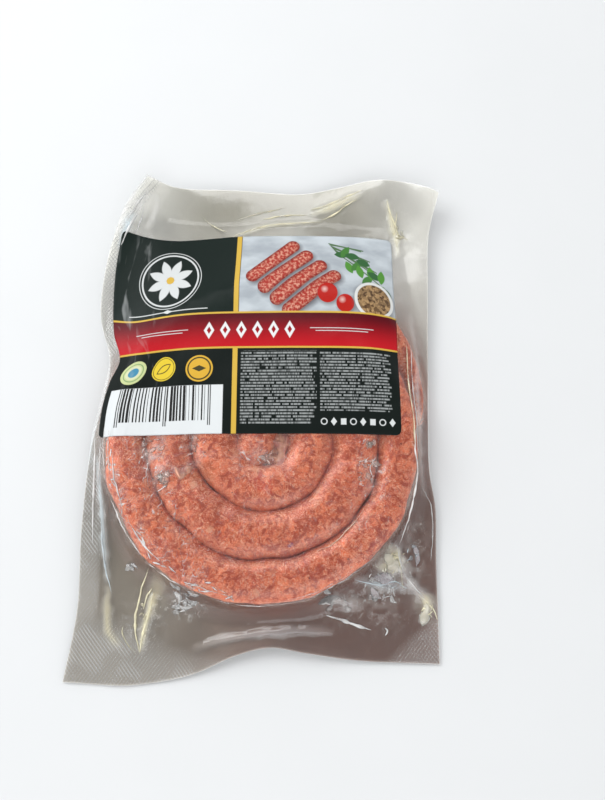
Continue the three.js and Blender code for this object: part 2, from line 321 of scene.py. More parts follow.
def flange_at(u, v):
    place = patch(u, v, lambda s: 1 - s)
    calm = (1 - near_edge(u)) * (1 - near_edge(1 - u)) * (1 - near_edge(v)) * (1 - near_edge(1 - v))
    place[..., 2] = patch(u, v, near_edge)[..., 2] + FLANGE_HEIGHT * calm
    return place


def flange_under(x, y):
    """The flange's height over points of the table."""
    u = np.clip(x / POUCH_WIDTH + 0.5, 0, 1)
    v = np.clip(y / POUCH_LENGTH + 0.5, 0, 1)
    for _ in range(12):
        place = flange_at(u, v)
        u = np.clip(u + (x - place[..., 0]) / POUCH_WIDTH, 0, 1)
        v = np.clip(v + (y - place[..., 1]) / POUCH_LENGTH, 0, 1)
    return flange_at(u, v)[..., 2]


def label_left(y):
    edge = smooth_line(placed(LABEL_LEFT_EDGE))(np.linspace(0, 1, 200))
    return np.interp(y, edge[:, 1], edge[:, 0])


def under_label(x, y, fade):
    beside = np.maximum(label_left(y) - x, x - (LABEL_RIGHT + COIL_MIDDLE[0]))
    above = np.maximum(LABEL_BOTTOM + COIL_MIDDLE[1] - y, y - (LABEL_TOP + COIL_MIDDLE[1]))
    return 1 - ease(np.maximum(beside, above), 0, fade)


# Helpers for Blender
def clear_selection():
    bpy.ops.object.select_all(action="DESELECT")


def corners_of(piece):
    co = np.empty(len(piece.data.vertices) * 3)
    piece.data.vertices.foreach_get("co", co)
    return co.reshape(-1, 3)


def move_corners(piece, places_mm):
    piece.data.vertices.foreach_set("co", (np.asarray(places_mm) * MM).ravel())
    piece.data.update()


def add_grid(name, across, along):
    """A flat square grid to be shaped, with its corners from 0 to 1 across and along."""
    clear_selection()
    bpy.ops.mesh.primitive_grid_add(x_subdivisions=across, y_subdivisions=along, size=1, location=(0, 0, 0))
    piece = bpy.context.object
    piece.name = piece.data.name = name
    co = corners_of(piece)
    return piece, co[:, 0] + 0.5, co[:, 1] + 0.5


def write_value(piece, name, values):
    attribute = piece.data.attributes.new(name, "FLOAT", "POINT")
    attribute.data.foreach_set("value", np.asarray(values, np.float32))


def write_color(piece, name, colors):
    attribute = piece.data.attributes.new(name, "FLOAT_COLOR", "POINT")
    rgba = np.concatenate([colors, np.ones((len(colors), 1))], axis=1)
    attribute.data.foreach_set("color", rgba.astype(np.float32).ravel())


def finish_piece(piece, look, nodes=()):
    piece.data.materials.clear()
    piece.data.materials.append(look)
    for face in piece.data.polygons:
        face.use_smooth = True
    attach(piece, "root")
    if nodes:
        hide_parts(*nodes)


class Look:
    """A material written as formulas. A value is a number, a colour or another node's output."""

    def __init__(self, name):
        self.material = bpy.data.materials.new(name)
        self.material.use_nodes = True
        self.nodes = self.material.node_tree.nodes
        self.nodes.clear()
        self.output = self.nodes.new("ShaderNodeOutputMaterial")

    def put(self, socket, value):
        if isinstance(value, bpy.types.NodeSocket):
            self.material.node_tree.links.new(value, socket)
        elif value is not None:
            socket.default_value = value

    def node(self, kind, inputs, result=0, **settings):
        made = self.nodes.new(kind)
        for key, value in settings.items():
            setattr(made, key, value)
        for key, value in inputs.items():
            self.put(made.inputs[key], value)
        return made.outputs[result]

    def math(self, operation, a, b=None, c=None, clamp=False):
        inputs = {i: v for i, v in enumerate((a, b, c)) if v is not None}
        return self.node("ShaderNodeMath", inputs, operation=operation, use_clamp=clamp)

    def add(self, a, b):
        return self.math("ADD", a, b)

    def sub(self, a, b):
        return self.math("SUBTRACT", a, b)

    def mul(self, a, b):
        return self.math("MULTIPLY", a, b)

    def ramp(self, value, low, high, out_low=0.0, out_high=1.0):
        inputs = {"Value": value, "From Min": low, "From Max": high, "To Min": out_low, "To Max": out_high}
        return self.node("ShaderNodeMapRange", inputs, interpolation_type="SMOOTHSTEP")

    def blend(self, share, a, b, mode="MIX"):
        inputs = {0: share, 6: a, 7: b}
        return self.node("ShaderNodeMix", inputs, result=2, data_type="RGBA", blend_type=mode)

    def place_mm(self):
        coordinates = self.node("ShaderNodeTexCoord", {}, result="Object")
        return self.node("ShaderNodeVectorMath", {0: coordinates, "Scale": 1 / MM}, operation="SCALE")

    def stretched(self, place, factors):
        return self.node("ShaderNodeVectorMath", {0: place, 1: factors}, operation="MULTIPLY")

    def noise(self, place, size, detail=2.0, rough=0.5, bend=0.0):
        inputs = {"Vector": place, "Scale": 1 / size, "Detail": detail, "Roughness": rough}
        inputs["Distortion"] = bend
        return self.node("ShaderNodeTexNoise", inputs, result="Fac")

    def cells(self, place, size, feature="F1", result="Distance"):
        inputs = {"Vector": place, "Scale": 1 / size}
        return self.node("ShaderNodeTexVoronoi", inputs, result=result, feature=feature)

    def attribute(self, name, result="Fac"):
        return self.node("ShaderNodeAttribute", {}, result=result, attribute_name=name)

    def bump(self, height, distance_mm, strength=1.0, normal=None):
        inputs = {"Height": height, "Distance": distance_mm * MM, "Strength": strength, "Normal": normal}
        return self.node("ShaderNodeBump", inputs, result="Normal")

    def shade(self, surface):
        self.put(self.output.inputs["Surface"], surface)
        return self.material


def gray(value):
    return (value, value, value, 1)


# Looks
# Places on the meat that differ: across, along, reach, strength and colour.
STAINS = [
    (63, -65, 9, 0.75, (0.44, 0.045, 0.028, 1)), (57, -73, 6, 0.6, (0.46, 0.05, 0.03, 1)),
    (2, -38, 7, 0.55, (0.70, 0.09, 0.05, 1)), (29, -66, 5, 0.5, (0.48, 0.06, 0.035, 1)),
    (-40, -57, 7, 0.5, (0.46, 0.07, 0.035, 1)), (-62, -30, 6, 0.5, (0.50, 0.08, 0.04, 1)),
    (-28, -32, 9, 0.4, (0.62, 0.20, 0.07, 1)), (-68, -20, 8, 0.45, (0.60, 0.13, 0.06, 1)),
    (16, -67.7, 1.7, 0.8, (0.14, 0.015, 0.24, 1)),
]


def meat_look():
    """Coarse raw mince: curly pale fibres over orange salmon, with darker lean, fat and specks."""
    look = Look("raw_mince_in_casing")
    place = look.place_mm()
    regions = look.noise(place, 16.0, 2, 0.5, bend=0.6)
    clumps = look.noise(place, 4.4, 3, 0.5, bend=1.2)
    curls = look.noise(place, 3.6, 1, 0.4, bend=2.2)
    fibres = look.noise(place, 2.2, 1, 0.5, bend=1.8)
    fine = look.noise(place, 1.1, 3, 0.6, bend=1.0)
    color = look.blend(look.ramp(regions, 0.36, 0.62), (0.64, 0.130, 0.044, 1), (0.83, 0.235, 0.092, 1))
    color = look.blend(look.ramp(clumps, 0.34, 0.60), (0.50, 0.082, 0.032, 1), color)
    # Painted light: the outer side of each turn is coloured paler, as a painted sheen, and the inner side
    # darker and browner, as painted shade.
    outer_side = look.attribute("outer_side")
    outer_side = look.add(outer_side, look.mul(look.sub(clumps, 0.5), 1.2))
    color = look.blend(look.mul(look.ramp(outer_side, 0.15, 0.9), 0.55), color, (0.87, 0.290, 0.160, 1))
    color = look.blend(look.mul(look.ramp(outer_side, -0.1, -0.9), 0.5), color, (0.55, 0.128, 0.042, 1))
    outward = look.node("ShaderNodeVectorMath", {0: place, 1: (*COIL_MIDDLE, 0)}, operation="SUBTRACT")
    outward = look.stretched(outward, (1, 1, 0))
    away = look.node("ShaderNodeVectorMath", {0: outward}, result="Value", operation="LENGTH")
    around = look.node("ShaderNodeVectorMath", {0: outward}, operation="NORMALIZE")
    around = look.node("ShaderNodeVectorMath", {0: around, "Scale": 70.0}, operation="SCALE")
    lift = look.node("ShaderNodeCombineXYZ", {2: look.mul(away, 0.35)})
    around = look.node("ShaderNodeVectorMath", {0: around, 1: lift}, operation="ADD")
    streaks = look.noise(around, 4.5, 2, 0.5, bend=0.8)
    color = look.blend(look.mul(look.ramp(streaks, 0.46, 0.32), 0.5), color, (0.46, 0.060, 0.028, 1))
    for x, y, reach, strength, stain in STAINS:
        spot = (x - COIL_MIDDLE[0], y - COIL_MIDDLE[1], 0)
        apart = look.node("ShaderNodeVectorMath", {0: outward, 1: spot}, result="Value", operation="DISTANCE")
        apart = look.add(apart, look.mul(look.sub(clumps, 0.5), reach * 2.2))
        color = look.blend(look.mul(look.ramp(apart, reach, reach * 0.25), strength), color, stain)
    for ridges, width, strength, tone in (
        (curls, 0.036, 0.9, (0.97, 0.60, 0.42, 1)), (fibres, 0.045, 0.62, (0.95, 0.50, 0.32, 1)),
    ):
        ridge = look.ramp(look.math("ABSOLUTE", look.sub(ridges, 0.5)), width, width * 0.1)
        color = look.blend(look.mul(look.mul(ridge, look.ramp(clumps, 0.34, 0.54)), strength), color, tone)
    color = look.blend(look.mul(look.ramp(fine, 0.55, 0.70), 0.45), color, (0.96, 0.50, 0.33, 1))
    color = look.blend(look.mul(look.ramp(fine, 0.44, 0.30), 0.45), color, (0.42, 0.06, 0.03, 1))
    lumps = look.cells(place, 11.0, result="Color")
    lump_kind = look.node("ShaderNodeSeparateColor", {0: lumps}, result=0)
    lump_reach = look.add(look.cells(place, 11.0), look.mul(look.sub(clumps, 0.5), 0.5))
    lump = look.mul(look.ramp(lump_reach, 0.24, 0.10), look.ramp(lump_kind, 0.6, 0.75))
    color = look.blend(look.mul(lump, 0.5), color, (0.97, 0.60, 0.40, 1))
    speck = look.ramp(look.cells(look.stretched(place, (1.0, 1.1, 1.0)), 8.0), 0.06, 0.035)
    color = look.blend(look.mul(speck, 0.85), color, (0.09, 0.04, 0.03, 1))
    # Painted shade: the meat is coloured darker mauve-brown down in the grooves between the turns.
    crease = look.attribute("groove_shade")
    crease = look.mul(crease, look.ramp(clumps, 0.30, 0.62, 0.85, 0.35))
    color = look.blend(crease, color, (0.46, 0.150, 0.135, 1))
    height = look.add(look.mul(curls, 0.6), look.add(look.mul(fibres, 0.3), look.mul(fine, 0.25)))
    inputs = {
        "Base Color": color, "Roughness": 0.5, "Normal": look.bump(height, 0.4, 0.7),
        "Subsurface Weight": 0.10, "Subsurface Scale": 0.002, "Subsurface Radius": (1.0, 0.35, 0.2),
        "Specular IOR Level": 0.25,
    }
    return look.shade(look.node("ShaderNodeBsdfPrincipled", inputs))


def casing_look():
    """Empty twisted casing: mauve pink with pale and yellowish streaks."""
    look = Look("twisted_casing")
    place = look.place_mm()
    streaks = look.noise(look.stretched(place, (1.5, 0.3, 1.0)), 2.4, 3, 0.55, bend=0.6)
    patches = look.noise(place, 5.0, 2)
    color = look.blend(look.ramp(patches, 0.4, 0.6), (0.52, 0.205, 0.165, 1), (0.68, 0.34, 0.22, 1))
    color = look.blend(look.mul(look.ramp(streaks, 0.5, 0.65), 0.55), color, (0.88, 0.55, 0.42, 1))
    color = look.blend(look.mul(look.ramp(streaks, 0.44, 0.32), 0.55), color, (0.30, 0.09, 0.06, 1))
    inputs = {"Base Color": color, "Roughness": 0.4, "Normal": look.bump(streaks, 0.5, 0.8)}
    return look.shade(look.node("ShaderNodeBsdfPrincipled", inputs))


MESH_PITCH = 1.55


def film_look():
    """Clear film: see-through, glossy where it faces away, milky where it is welded. Its milky white along
    folds, crinkles and the coil's rim stands for painted highlights, with thin painted glints.
    """
    look = Look("clear_film")
    place = look.place_mm()
    cling = look.attribute("cling")
    ripple = look.noise(look.stretched(place, (1.0, 0.6, 1.0)), 9.0, 3, 0.5)
    pucker = look.noise(place, 1.6, 3, 0.6)
    height = look.add(ripple, look.mul(look.mul(pucker, cling), 0.9))
    crinkle = look.attribute("crinkle")
    # Painted glints: thin white threads where the film is crinkled; they also raise its bumps.
    tangle = look.noise(look.stretched(place, (1.0, 0.7, 0.4)), 6.5, 1, 0.5, bend=1.6)
    glint_threads = look.ramp(look.math("ABSOLUTE", look.sub(tangle, 0.5)), 0.022, 0.0)
    glint_threads = look.mul(look.mul(glint_threads, crinkle), look.ramp(look.noise(place, 7.0, 1), 0.44, 0.54))
    facets = look.cells(look.stretched(place, (1.0, 0.6, 0.3)), 3.6)
    height = look.add(height, look.add(look.mul(glint_threads, 0.8), look.mul(look.mul(facets, crinkle), 2.0)))
    emboss = look.attribute("emboss")
    rising, falling = (
        look.node("ShaderNodeVectorMath", {0: place, 1: way}, result="Value", operation="DOT_PRODUCT")
        for way in ((0.8, 0.6, 0), (0.8, -0.6, 0))
    )
    rising, falling = (look.math("PINGPONG", lines, MESH_PITCH / 2) for lines in (rising, falling))
    side = look.ramp(look.noise(place, 16.0, 1), 0.45, 0.55)
    crossed = look.math("MINIMUM", look.add(rising, look.mul(side, 0.2)), look.add(falling, 0.12))
    hatch = look.mul(look.ramp(crossed, 0.10, 0.36, 1.0, 0.0), emboss)
    height = look.add(height, look.mul(hatch, 0.9))
    normal = look.bump(height, 0.5, 0.7)
    # The film's milky white: real at the embossed welds, painted highlight along folds, crinkles and the
    # coil's rim.
    haze_and_sheen = look.add(look.attribute("haze_and_sheen"), look.mul(hatch, 0.30))
    haze_and_sheen = look.math("ADD", haze_and_sheen, look.mul(glint_threads, 0.62), clamp=True)
    clear = look.node("ShaderNodeBsdfTransparent", {0: gray(1.0)})
    milk_and_sheen_shader = look.node(
        "ShaderNodeBsdfPrincipled",
        {"Base Color": look.attribute("milk_and_sheen", "Color"), "Roughness": 0.3, "Normal": normal,
         "Specular IOR Level": 0.3},
    )
    body = look.node("ShaderNodeMixShader", {0: haze_and_sheen, 1: clear, 2: milk_and_sheen_shader})
    rough = look.add(look.mul(cling, 0.16), 0.12)
    gloss = look.node("ShaderNodeBsdfGlossy", {"Color": gray(1.0), "Roughness": rough, "Normal": normal})
    shine = look.node("ShaderNodeFresnel", {"IOR": 1.45, "Normal": normal})
    return look.shade(look.node("ShaderNodeMixShader", {0: shine, 1: body, 2: gloss}))


class Print:
    """Ink on the label, shape over shape, in millimetres from the label's lower left corner."""

    SOFTNESS = 0.14

    def __init__(self, look, ground):
        self.look = look
        uv = look.node("ShaderNodeUVMap", {}, uv_map="UVMap")
        self.place = look.node("ShaderNodeVectorMath", {0: uv, 1: (*LABEL_SIZE, 0)}, operation="MULTIPLY")
        self.across, self.up = (look.node("ShaderNodeSeparateXYZ", {0: self.place}, result=i) for i in (0, 1))
        self.color = ground

    def lay(self, mask, color, strength=None):
        if strength is not None:
            mask = self.look.mul(mask, strength)
        self.color = self.look.blend(mask, self.color, color)

    def inside(self, distance, reach=0.0, softness=None):
        """One where the distance is below reach."""
        soft = 2 * (softness or self.SOFTNESS)
        return self.limited(self.look.math("MULTIPLY_ADD", distance, -1 / soft, 0.5 + reach / soft))

    def limited(self, share):
        """A share kept between 0 and 1."""
        return self.look.math("MAXIMUM", self.look.math("MINIMUM", share, 1.0), 0.0)

    def vector(self, operation, a, b=None, result=0):
        inputs = {0: a} if b is None else {0: a, 1: b}
        return self.look.node("ShaderNodeVectorMath", inputs, result=result, operation=operation)

    def box(self, left, bottom, right, top, softness=None):
        middle = ((left + right) / 2, (bottom + top) / 2, 0)
        half = ((right - left) / 2, (top - bottom) / 2, 0)
        away = self.vector("ABSOLUTE", self.vector("SUBTRACT", self.place, middle))
        away = self.vector("SUBTRACT", away, half)
        across, up = (self.look.node("ShaderNodeSeparateXYZ", {0: away}, result=i) for i in (0, 1))
        return self.inside(self.look.math("MAXIMUM", across, up), softness=softness)

    def from_point(self, x, y):
        return self.vector("DISTANCE", self.place, (x, y, 0), result="Value")

    def disc(self, x, y, radius, softness=None):
        return self.inside(self.from_point(x, y), radius, softness)

    def ring(self, x, y, radius, width):
        away = self.look.math("ABSOLUTE", self.look.sub(self.from_point(x, y), radius))
        return self.inside(away, width / 2)

    def from_line(self, start, end):
        """Distance from the straight line between two points."""
        along = (end[0] - start[0], end[1] - start[1], 0)
        square = along[0] ** 2 + along[1] ** 2
        out = self.vector("SUBTRACT", self.place, (*start, 0))
        share = self.vector("DOT_PRODUCT", out, (along[0] / square, along[1] / square, 0), result="Value")
        inputs = {0: along, "Scale": self.limited(share)}
        foot = self.look.node("ShaderNodeVectorMath", inputs, operation="SCALE")
        return self.vector("DISTANCE", out, foot, result="Value")

    def turned(self, x, y, angle, length, width):
        """Place seen from a shape's own middle, in half lengths and half widths."""
        inputs = {0: self.place, 1: (x, y, 0), 2: (0, 0, math.radians(angle)), 3: (length / 2, width / 2, 1)}
        own = self.look.node("ShaderNodeMapping", inputs, vector_type="TEXTURE")
        parts = (self.look.node("ShaderNodeSeparateXYZ", {0: own}, result=i) for i in (0, 1))
        return [self.look.math("ABSOLUTE", part) for part in parts]

    def leaf(self, x, y, angle, length, width):
        along, beside = self.turned(x, y, angle, length, width)
        return self.inside(self.look.add(self.look.mul(along, along), beside), 1.0, 0.1)

    def lozenge(self, x, y, angle, length, width):
        along, beside = self.turned(x, y, angle, length, width)
        return self.inside(self.look.add(along, beside), 1.0, 0.06)

    def random_cells(self, width, height, seed=0.0):
        """A random value in each cell of a grid across the label."""
        columns = self.look.math("FLOOR", self.look.math("DIVIDE", self.across, width))
        rows = self.look.math("FLOOR", self.look.math("DIVIDE", self.up, height))
        cell = self.look.node("ShaderNodeCombineXYZ", {0: columns, 1: rows, 2: seed})
        return self.look.node("ShaderNodeTexWhiteNoise", {"Vector": cell}, result="Value")


GOLD = (0.52, 0.34, 0.055, 1)
PALE = (0.52, 0.54, 0.54, 1)
BAND_BOTTOM, BAND_TOP = 46.1, 65.5
STRIPE = (67.0, 69.6)
PICTURE_LEFT = 69.9


def lay_picture(ink):
    """A pale board with four straight sausages, round tomatoes, herbs and a bowl of seeds."""
    look = ink.look
    field = ink.box(PICTURE_LEFT, BAND_TOP, LABEL_SIZE[0] + 1, LABEL_SIZE[1] + 1)
    board = look.noise(look.stretched(ink.place, (0.5, 1.0, 1.0)), 9.0, 3)
    board = look.blend(look.ramp(board, 0.3, 0.7), (0.30, 0.33, 0.36, 1), (0.45, 0.49, 0.52, 1))
    ground, ink.color = ink.color, board
    for i in range(9):
        start = (119 + 0.6 * i, 108 - 0.8 * i)
        end = (137 + 1.2 * i, 104 - 2.1 * i + 3 * math.sin(2.1 * i))
        ink.lay(ink.inside(ink.from_line(start, end), 0.35), (0.07, 0.13, 0.06, 1))
    for i in range(13):
        x, y = 126 + 2.0 * i, 101 - 1.5 * i + 5 * math.sin(2.4 * i)
        shade = (0.03 + 0.02 * (i % 3), 0.10 + 0.06 * (i % 3), 0.035, 1)
        ink.lay(ink.leaf(x, y, 57 * i, 8.5, 4.2), shade)
    grain_of_meat = look.noise(ink.place, 1.5, 2, 0.6)
    flesh = look.blend(look.ramp(grain_of_meat, 0.42, 0.66), (0.30, 0.028, 0.02, 1), (0.55, 0.25, 0.18, 1))
    for i in range(4):
        start = (77.0 + 6.6 * i, 86.0 - 6.4 * i)
        end = (start[0] + 21.5 + i, start[1] + 19.5)
        below = ink.from_line((start[0] + 1.2, start[1] - 1.5), (end[0] + 1.2, end[1] - 1.5))
        ink.lay(ink.inside(below, 4.0, 1.6), (0.05, 0.04, 0.045, 1), 0.75)
        away = ink.from_line(start, end)
        ink.lay(ink.inside(away, 3.9), flesh)
        edge = look.mul(look.ramp(away, 1.8, 3.9), ink.inside(away, 3.9))
        ink.lay(edge, (0.12, 0.012, 0.012, 1), 0.7)
    for x, y, radius in ((117.5, 76.0, 5.4), (127.0, 70.5, 4.8)):
        ink.lay(ink.disc(x + 0.8, y - 1, radius + 0.4, 1.2), (0.06, 0.05, 0.05, 1), 0.6)
        ink.lay(ink.disc(x, y, radius), (0.36, 0.014, 0.01, 1))
        ink.lay(ink.disc(x - 1.6, y + 1.8, 1.0, 1.2), (0.68, 0.52, 0.48, 1), 0.8)
    ink.lay(ink.disc(143.0, 73.0, 11.8, 1.4), (0.08, 0.07, 0.07, 1), 0.5)
    ink.lay(ink.disc(143.0, 74.0, 11.0), (0.56, 0.57, 0.56, 1))
    seeds = look.node("ShaderNodeSeparateColor", {0: look.cells(ink.place, 1.3, result="Color")}, result=0)
    seeds = look.blend(seeds, (0.06, 0.03, 0.015, 1), (0.36, 0.23, 0.11, 1))
    ink.lay(ink.disc(143.0, 74.0, 9.4), seeds)
    picture, ink.color = ink.color, ground
    ink.lay(field, picture)


def lay_emblem(ink):
    """An eight-petalled rosette in two thin rings, over a plain rule."""
    x, y = 31.0, 87.5
    for i in range(8):
        angle = math.radians(45 * i + 22.5)
        ink.lay(ink.leaf(x + 7 * math.cos(angle), y + 7 * math.sin(angle), 45 * i + 22.5, 12, 5.0), PALE)
    ink.lay(ink.disc(x, y, 2.2), GOLD)
    ink.lay(ink.ring(x, y, 15.6, 0.9), PALE)
    ink.lay(ink.ring(x, y, 17.3, 0.4), PALE)
    ink.lay(ink.box(9.0, 68.1, 53.0, 68.6), PALE)
    ink.lay(ink.lozenge(x, 68.35, 0, 6.0, 2.2), PALE)


def lay_band(ink):
    """The red band between gold lines, with a row of white lozenges between thin rules."""
    look = ink.look
    depth = look.ramp(ink.up, BAND_BOTTOM, BAND_TOP)
    red = look.blend(depth, (0.41, 0.008, 0.014, 1), (0.070, 0.004, 0.008, 1))
    ink.lay(ink.box(-1, BAND_BOTTOM, LABEL_SIZE[0] + 1, BAND_TOP), red)
    for height in (BAND_BOTTOM, BAND_TOP):
        ink.lay(ink.box(-1, height - 0.5, LABEL_SIZE[0] + 1, height + 0.5), GOLD)
    for i in range(6):
        ink.lay(ink.lozenge(54.2 + 8.6 * i, 55.8, 90, 9.6, 5.6), (0.62, 0.62, 0.62, 1))
        ink.lay(ink.lozenge(54.2 + 8.6 * i, 55.8, 90, 4.2, 2.4), red)
    for left, right in ((13.0, 43.0), (108.0, 142.0)):
        ink.lay(ink.box(left, 56.4, right, 56.8), PALE)
        ink.lay(ink.box(left + 3, 54.9, right - 3, 55.3), PALE)


def lay_badges(ink):
    """Three round badges: pale green with a blue eye, yellow with a leaf, and gold with a dark ring."""
    dark = (0.05, 0.045, 0.02, 1)
    ink.lay(ink.disc(12.6, 35.0, 6.7), (0.44, 0.49, 0.24, 1))
    ink.lay(ink.ring(12.6, 35.0, 5.0, 0.5), (0.16, 0.26, 0.12, 1))
    ink.lay(ink.disc(12.6, 35.0, 4.0), (0.52, 0.55, 0.36, 1))
    ink.lay(ink.disc(12.6, 35.0, 2.7), (0.05, 0.21, 0.33, 1))
    ink.lay(ink.disc(29.8, 35.8, 6.7), (0.60, 0.45, 0.035, 1))
    ink.lay(ink.ring(29.8, 35.8, 5.9, 0.35), dark)
    ink.lay(ink.leaf(29.8, 35.8, 35, 9.0, 4.4), dark)
    ink.lay(ink.leaf(29.8, 35.8, 35, 7.6, 3.2), (0.60, 0.45, 0.035, 1))
    ink.lay(ink.disc(49.6, 35.0, 7.2), (0.55, 0.33, 0.04, 1))
    ink.lay(ink.ring(49.6, 35.0, 5.9, 0.8), dark)
    ink.lay(ink.lozenge(49.6, 35.0, 0, 7.5, 3.4), dark)


BAR_PITCH = 1.6


def lay_price_code(ink):
    """A white field with dark upright bars of uneven widths."""
    ink.lay(ink.box(3.4, -1.0, 62.4, 26.0), (0.575, 0.60, 0.61, 1))
    within = ink.look.math("FRACT", ink.look.math("DIVIDE", ink.across, BAR_PITCH))
    share = ink.look.ramp(ink.random_cells(BAR_PITCH, 200.0), 0.0, 1.0, 0.15, 0.85)
    bars = ink.look.math("LESS_THAN", within, share)
    long_bars = ink.box(9.0, 4.6, 56.0, 26.0)
    short = ink.box(11.0, 7.2, 31.8, 26.0)
    short = ink.look.math("MAXIMUM", short, ink.box(33.6, 7.2, 54.2, 26.0))
    guards = ink.box(9.0, 4.6, 9.6, 26.0)
    for x in (10.2, 32.2, 33.2, 54.6, 55.6):
        guards = ink.look.math("MAXIMUM", guards, ink.box(x, 4.6, x + 0.5, 26.0))
    ink.lay(ink.look.mul(ink.look.mul(bars, short), long_bars), (0.02, 0.02, 0.02, 1))
    ink.lay(guards, (0.02, 0.02, 0.02, 1))


LINE_PITCH = 1.62


def lay_small_print(ink):
    """Two blocks of fine pale dashes in lines, and a row of small plain marks."""
    look = ink.look
    row = look.math("FRACT", look.math("DIVIDE", ink.up, LINE_PITCH))
    line = look.ramp(look.math("ABSOLUTE", look.sub(row, 0.5)), 0.35, 0.2)
    letters = look.ramp(ink.random_cells(0.55, LINE_PITCH, 3.0), 0.1, 0.6, 0.35, 1.0)
    words = look.math("GREATER_THAN", ink.random_cells(1.1, LINE_PITCH, 7.0), 0.09)
    dashes = look.mul(look.mul(line, letters), words)
    ragged = look.mul(ink.random_cells(500.0, LINE_PITCH, 5.0), 5.0)
    blocks = None
    for left, right, bottom, top in ((71.5, 111.4, 4.8, 44.2), (113.2, 150.6, 12.0, 43.4)):
        block = ink.box(left, bottom, right, top)
        block = look.mul(block, ink.inside(look.add(ink.across, ragged), right + 1.5))
        blocks = block if blocks is None else look.math("MAXIMUM", blocks, block)
    ink.lay(look.mul(dashes, blocks), (0.33, 0.35, 0.35, 1), 0.75)
    for i in range(8):
        x, y = 115.2 + 5.05 * i, 6.4
        ring = ink.ring(x, y, 1.5, 0.55)
        lozenge = ink.lozenge(x, y, 90, 4.4, 3.2)
        square = ink.box(x - 1.4, y - 1.6, x + 1.4, y + 1.6)
        ink.lay((ring, lozenge, square)[i % 3], PALE)


def label_look():
    look = Look("printed_label")
    ink = Print(look, (0.006, 0.009, 0.008, 1))
    ink.lay(ink.box(-1, BAND_TOP, STRIPE[0], LABEL_SIZE[1] + 1), (0.007, 0.013, 0.011, 1))
    lay_picture(ink)
    lay_emblem(ink)
    ink.lay(ink.box(STRIPE[0], -1, STRIPE[1], LABEL_SIZE[1] + 1), GOLD)
    lay_band(ink)
    lay_badges(ink)
    lay_price_code(ink)
    lay_small_print(ink)
    # Painted sheen: pale streaks towards the label's left end.
    gleam = look.noise(look.stretched(ink.place, (1.0, 0.22, 1.0)), 5.0, 2, 0.5, bend=0.8)
    gleam = look.ramp(gleam, 0.56, 0.74)
    ink.lay(look.mul(gleam, look.ramp(ink.across, 34.0, 2.0)), (0.42, 0.44, 0.44, 1), 0.4)
    ripple = look.noise(look.stretched(look.place_mm(), (1.0, 0.5, 1.0)), 10.0, 2)
    inputs = {
        "Base Color": ink.color, "Roughness": 0.3, "Specular IOR Level": 0.09,
        "Normal": look.bump(ripple, 0.7, 0.5),
    }
    return look.shade(look.node("ShaderNodeBsdfPrincipled", inputs))


def floor_look():
    look = Look("pale_table")
    mottle = look.noise(look.place_mm(), 60.0, 2)
    color = look.blend(mottle, (0.60, 0.612, 0.62, 1), (0.62, 0.63, 0.64, 1))
    return look.shade(look.node("ShaderNodeBsdfPrincipled", {"Base Color": color, "Roughness": 0.9}))


# The sausage
LINK_SIDES = 112
PRESSED_WIDTH = 0.997
END_ROUNDNESS = 2.4
LOWEST_MEAT = 0.25


def make_link(name, first, last, ends, rings):
    """One link: a ball stretched and bent along the coil's line. ends are how long its round ends are."""
    clear_selection()
    bpy.ops.mesh.primitive_uv_sphere_add(segments=LINK_SIDES, ring_count=rings, radius=1, location=(0, 0, 0))
    piece = bpy.context.object
    piece.name = piece.data.name = name
    ball = corners_of(piece)
    share = np.arccos(np.clip(ball[:, 2], -1, 1)) / np.pi
    around = np.arctan2(ball[:, 1], ball[:, 0])
    start, stop = (np.interp(t, coil_turns, coil_length) for t in (first, last))
    along = mix(start, stop, share)
    turn = np.interp(along, coil_length, coil_turns)
    into = [np.clip((along - start) / ends[0], 0, 1), np.clip((stop - along) / ends[1], 0, 1)]
    rounded = [(1 - (1 - k) ** END_ROUNDNESS) ** (1 / END_ROUNDNESS) for k in into]
    full = fullness(turn) * rounded[0] * rounded[1]
    middle = coil_place(turn)
    ahead = coil_place(turn + 1e-3) - coil_place(turn - 1e-3)
    ahead /= np.linalg.norm(ahead, axis=1)[:, None]
    power = 2 / SECTION_SQUARENESS
    side = np.sign(np.cos(around)) * np.abs(np.cos(around)) ** power
    up = np.sign(np.sin(around)) * np.abs(np.sin(around)) ** power
    up = np.where(up > 0, up, np.maximum(up * BASE_FLATTENING, -1))
    half = full * SAUSAGE_HEIGHT / 2
    wide = width_share(turn) * rounded[0] * rounded[1] * PITCH / 2
    swell = 1.05 + 0.022 * grain(flat_points(along, side), 9.0)
    across = np.clip(side * swell, -PRESSED_WIDTH, PRESSED_WIDTH) * wide
    x = middle[:, 0] + ahead[:, 1] * across
    y = middle[:, 1] - ahead[:, 0] * across
    z = fullness(turn) * SAUSAGE_HEIGHT / 2 + up * half
    place = np.stack([x, y, z], axis=1)
    lumps = 0.30 * grain(place, 16.0) + 0.32 * grain(place + 90, 6.5) + 0.20 * grain(place + 40, 3.0)
    lumps = np.where(z > 1.5, lumps, lumps * np.clip(z / 1.5, 0, 1))
    outward = np.stack([ahead[:, 1] * side, -ahead[:, 0] * side, up], axis=1)
    outward /= np.maximum(np.linalg.norm(outward, axis=1), 1e-6)[:, None]
    place += outward * (lumps * np.minimum(full * 1.5, 1))[:, None]
    place[:, 2] = np.maximum(place[:, 2], LOWEST_MEAT)
    place[:, 0], place[:, 1] = drifted(place[:, 0], place[:, 1])
    move_corners(piece, place)
    # Painted shade: how deep in a groove between the turns each point lies, which darkens the meat's colour
    # there; the coil's open outer side is left out.
    open_side = ease(-side, 0, 0.1) * ease(turn, OUTER_TURN - 1.02, OUTER_TURN - 0.98)
    depth = z + 1.6 * grain(place, 6.0) - 1.5 * ease(turn, 0.9, 0.6)
    groove_shade = ease(depth, 20.0, 15.8) * ease(np.abs(side), 0.5, 0.85) * (1 - 0.85 * open_side)
    write_value(piece, "groove_shade", groove_shade)
    write_value(piece, "outer_side", -side)
    return piece


